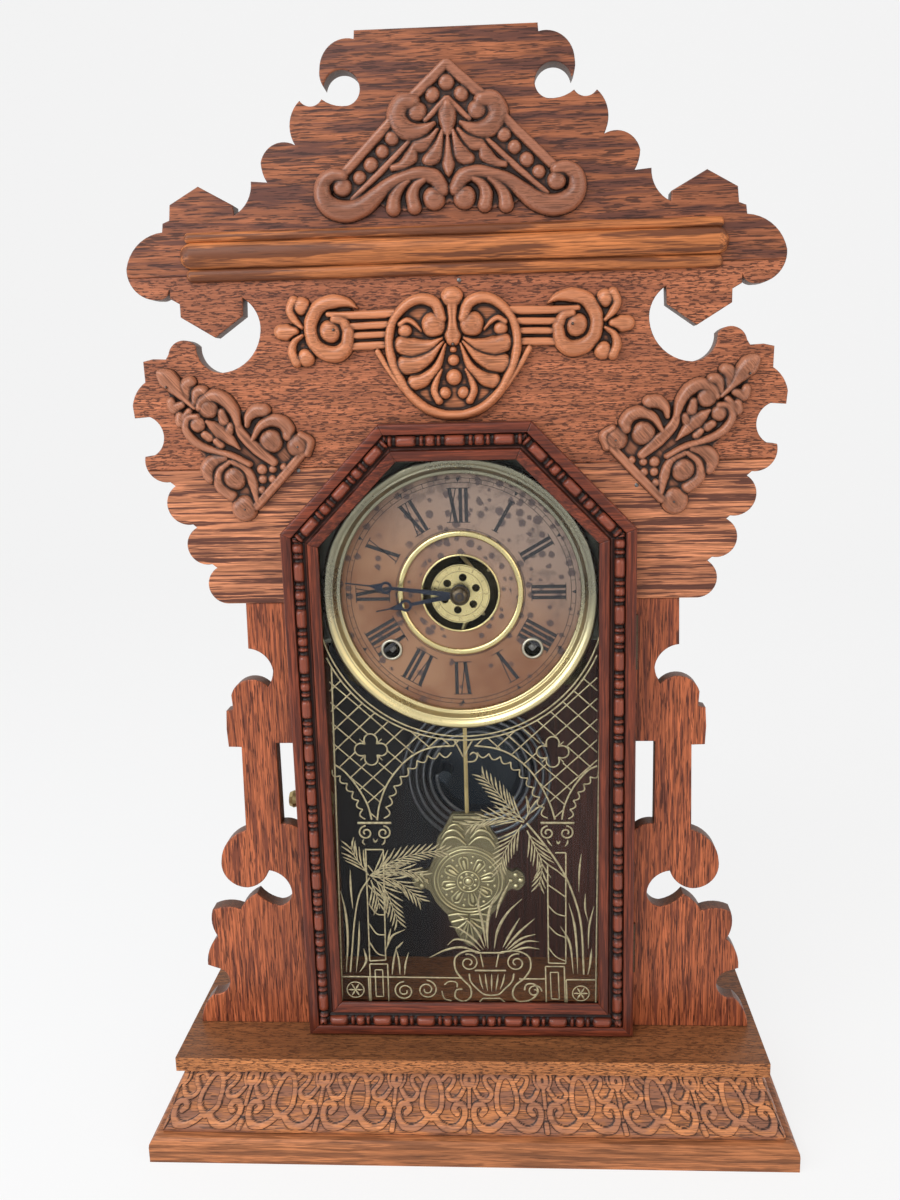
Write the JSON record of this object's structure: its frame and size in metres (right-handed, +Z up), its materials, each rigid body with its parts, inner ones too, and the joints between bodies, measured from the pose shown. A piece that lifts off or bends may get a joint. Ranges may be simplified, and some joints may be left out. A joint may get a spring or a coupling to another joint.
{
  "type": "carved oak shelf clock",
  "caption": "Fretwork-front oak shelf clock with an octagon-top glazed door, brass-rimmed Roman dial with alarm disc, hanging pendulum, coil gong and geared movement.",
  "frame": {"origin": "on the surface the clock stands on, under the middle of its box", "axes": "+X to the viewer's right, +Y from the front to the back, +Z up"},
  "size_m": [0.3566, 0.1208, 0.5897],
  "materials": {
    "oak_crest": "varnished dark red-brown oak",
    "oak_front": "varnished red-brown oak",
    "oak_carved": "carved oak, varnished",
    "oak_case": "stained case wood",
    "oak_base": "varnished golden-brown oak",
    "mahogany": "dark red varnish on moulded wood",
    "pane": "clear glass with gilt line decoration",
    "dial_paper": "zinc sheet faced with aged tan-pink paper, foxed",
    "aged_brass": "aged brass, greenish patina",
    "movement_brass": "plain brass, dull",
    "spring_steel": "blued and grey spring steel",
    "black_steel": "black japanned steel",
    "cast_iron": "blackened cast iron"
  },
  "bodies": {
    "case": {"crest_board": "oak_crest", "middle_board": "oak_front", "lower_board_left": "oak_front", "lower_board_right": "oak_front", "stile_left": "oak_front", "stile_right": "oak_front", "crest_moulding": "oak_crest", "crest_ornament": "oak_crest", "centre_ornament": "oak_carved", "corner_ornament_left": "oak_carved", "corner_ornament_right": "oak_carved", "case_side_left": "oak_case", "case_side_right": "oak_case", "case_top": "oak_case", "backboard": "oak_case", "base_shelf": "oak_base", "base_moulding_front": "oak_base", "base_moulding_left": "oak_base", "base_moulding_right": "oak_base", "foot_board": "oak_base", "dial_plate": "dial_paper", "dial_bezel": "aged_brass", "dial_centre_ring": "aged_brass", "movement_front_plate": "movement_brass", "movement_back_plate": "movement_brass", "time_mainspring": "spring_steel", "strike_mainspring": "spring_steel", "gong_base": "cast_iron", "gong_coil": "spring_steel", "hinge_lower_case_leaf": "aged_brass", "hinge_upper_case_leaf": "aged_brass"},
    "door": {"door_stile_left": "mahogany", "door_rail_upper_left": "mahogany", "door_rail_top": "mahogany", "door_rail_upper_right": "mahogany", "door_stile_right": "mahogany", "door_rail_bottom": "mahogany", "door_glass": "pane", "door_keeper": "aged_brass", "hinge_lower_door_leaf": "aged_brass", "hinge_upper_door_leaf": "aged_brass"},
    "latch": {"latch": "aged_brass"},
    "pendulum": {"pendulum_rod": "aged_brass", "pendulum_bob": "aged_brass"},
    "verge": {"verge": "spring_steel"},
    "minute_arbor": {"cannon_pinion": "movement_brass", "minute_hand": "black_steel"},
    "minute_wheel": {"minute_wheel": "movement_brass"},
    "hour_pipe": {"hour_wheel": "movement_brass", "hour_hand": "black_steel"},
    "alarm_disc": {"alarm_disc": "aged_brass"},
    "time_great": {"time_great_wheel": "movement_brass"},
    "time_second": {"time_second_wheel": "movement_brass"},
    "centre_wheel": {"centre_wheel": "movement_brass"},
    "third_wheel": {"third_wheel": "movement_brass"},
    "escape_wheel": {"escape_wheel": "movement_brass"},
    "strike_great": {"strike_great_wheel": "movement_brass"},
    "strike_second": {"strike_second_wheel": "movement_brass"},
    "strike_pin_wheel": {"strike_pin_wheel": "movement_brass"},
    "strike_hammer": {"strike_hammer": "black_steel"}
  },
  "joints": [
    {"name": "door_swing", "type": "hinge", "parent": "case", "child": "door", "pos_m": [0.0926, -0.0181, 0.18], "axis": [0, 0, 1], "range_deg": [0, 100]},
    {"name": "latch_turn", "type": "hinge", "parent": "case", "child": "latch", "pos_m": [-0.094, 0.0043, 0.187], "axis": [1, 0, 0], "range_deg": [0, 38]},
    {"name": "pendulum_swing", "type": "hinge", "parent": "case", "child": "pendulum", "pos_m": [0, -0.0023, 0.355], "axis": [0, 1, 0], "range_deg": [-5, 5]},
    {"name": "verge_rock", "type": "hinge", "parent": "case", "child": "verge", "pos_m": [0, 0.0043, 0.349], "axis": [0, 1, 0], "range_deg": [-7, 7]},
    {"name": "minute_turn", "type": "hinge", "parent": "case", "child": "minute_arbor", "pos_m": [0, -0.0057, 0.311], "axis": [0, 1, 0], "continuous": true},
    {"name": "minute_wheel_turn", "type": "hinge", "parent": "case", "child": "minute_wheel", "pos_m": [-0.0144, -0.0037, 0.311], "axis": [0, 1, 0], "continuous": true},
    {"name": "hour_turn", "type": "hinge", "parent": "case", "child": "hour_pipe", "pos_m": [0, -0.0077, 0.311], "axis": [0, 1, 0], "continuous": true},
    {"name": "alarm_disc_turn", "type": "hinge", "parent": "hour_pipe", "child": "alarm_disc", "pos_m": [0, -0.0111, 0.311], "axis": [0, 1, 0], "continuous": true},
    {"name": "third_wheel_turn", "type": "hinge", "parent": "case", "child": "third_wheel", "pos_m": [0.01494, 0.0173, 0.32071], "axis": [0, 1, 0], "continuous": true},
    {"name": "centre_wheel_turn", "type": "hinge", "parent": "case", "child": "centre_wheel", "pos_m": [0, 0.0243, 0.311], "axis": [0, 1, 0], "continuous": true},
    {"name": "time_second_turn", "type": "hinge", "parent": "case", "child": "time_second", "pos_m": [0.01161, 0.0243, 0.29601], "axis": [0, 1, 0], "continuous": true},
    {"name": "time_great_turn", "type": "hinge", "parent": "case", "child": "time_great", "pos_m": [0.0384, 0.0093, 0.28], "axis": [0, 1, 0], "continuous": true},
    {"name": "escape_wheel_turn", "type": "hinge", "parent": "case", "child": "escape_wheel", "pos_m": [0, 0.0093, 0.32914], "axis": [0, 1, 0], "continuous": true},
    {"name": "strike_second_turn", "type": "hinge", "parent": "case", "child": "strike_second", "pos_m": [-0.01161, 0.0243, 0.29601], "axis": [0, 1, 0], "continuous": true},
    {"name": "strike_great_turn", "type": "hinge", "parent": "case", "child": "strike_great", "pos_m": [-0.0384, 0.0093, 0.28], "axis": [0, 1, 0], "continuous": true},
    {"name": "strike_pin_wheel_turn", "type": "hinge", "parent": "case", "child": "strike_pin_wheel", "pos_m": [-0.0176, 0.0183, 0.31057], "axis": [0, 1, 0], "continuous": true},
    {"name": "hammer_lift", "type": "hinge", "parent": "case", "child": "strike_hammer", "pos_m": [-0.01, 0.0343, 0.262], "axis": [0, 1, 0], "range_deg": [-14, 0]}
  ],
  "couplings": [
    {"joint": "verge_rock", "follows": "pendulum_swing", "ratio": 1.3333},
    {"joint": "minute_wheel_turn", "follows": "minute_turn", "ratio": -0.33333},
    {"joint": "hour_turn", "follows": "minute_turn", "ratio": 0.083333},
    {"joint": "centre_wheel_turn", "follows": "third_wheel_turn", "ratio": -0.125},
    {"joint": "time_second_turn", "follows": "third_wheel_turn", "ratio": 0.041667},
    {"joint": "time_great_turn", "follows": "third_wheel_turn", "ratio": -0.0083333},
    {"joint": "escape_wheel_turn", "follows": "third_wheel_turn", "ratio": -10},
    {"joint": "strike_great_turn", "follows": "strike_second_turn", "ratio": -0.2},
    {"joint": "strike_pin_wheel_turn", "follows": "strike_second_turn", "ratio": -6}
  ]
}
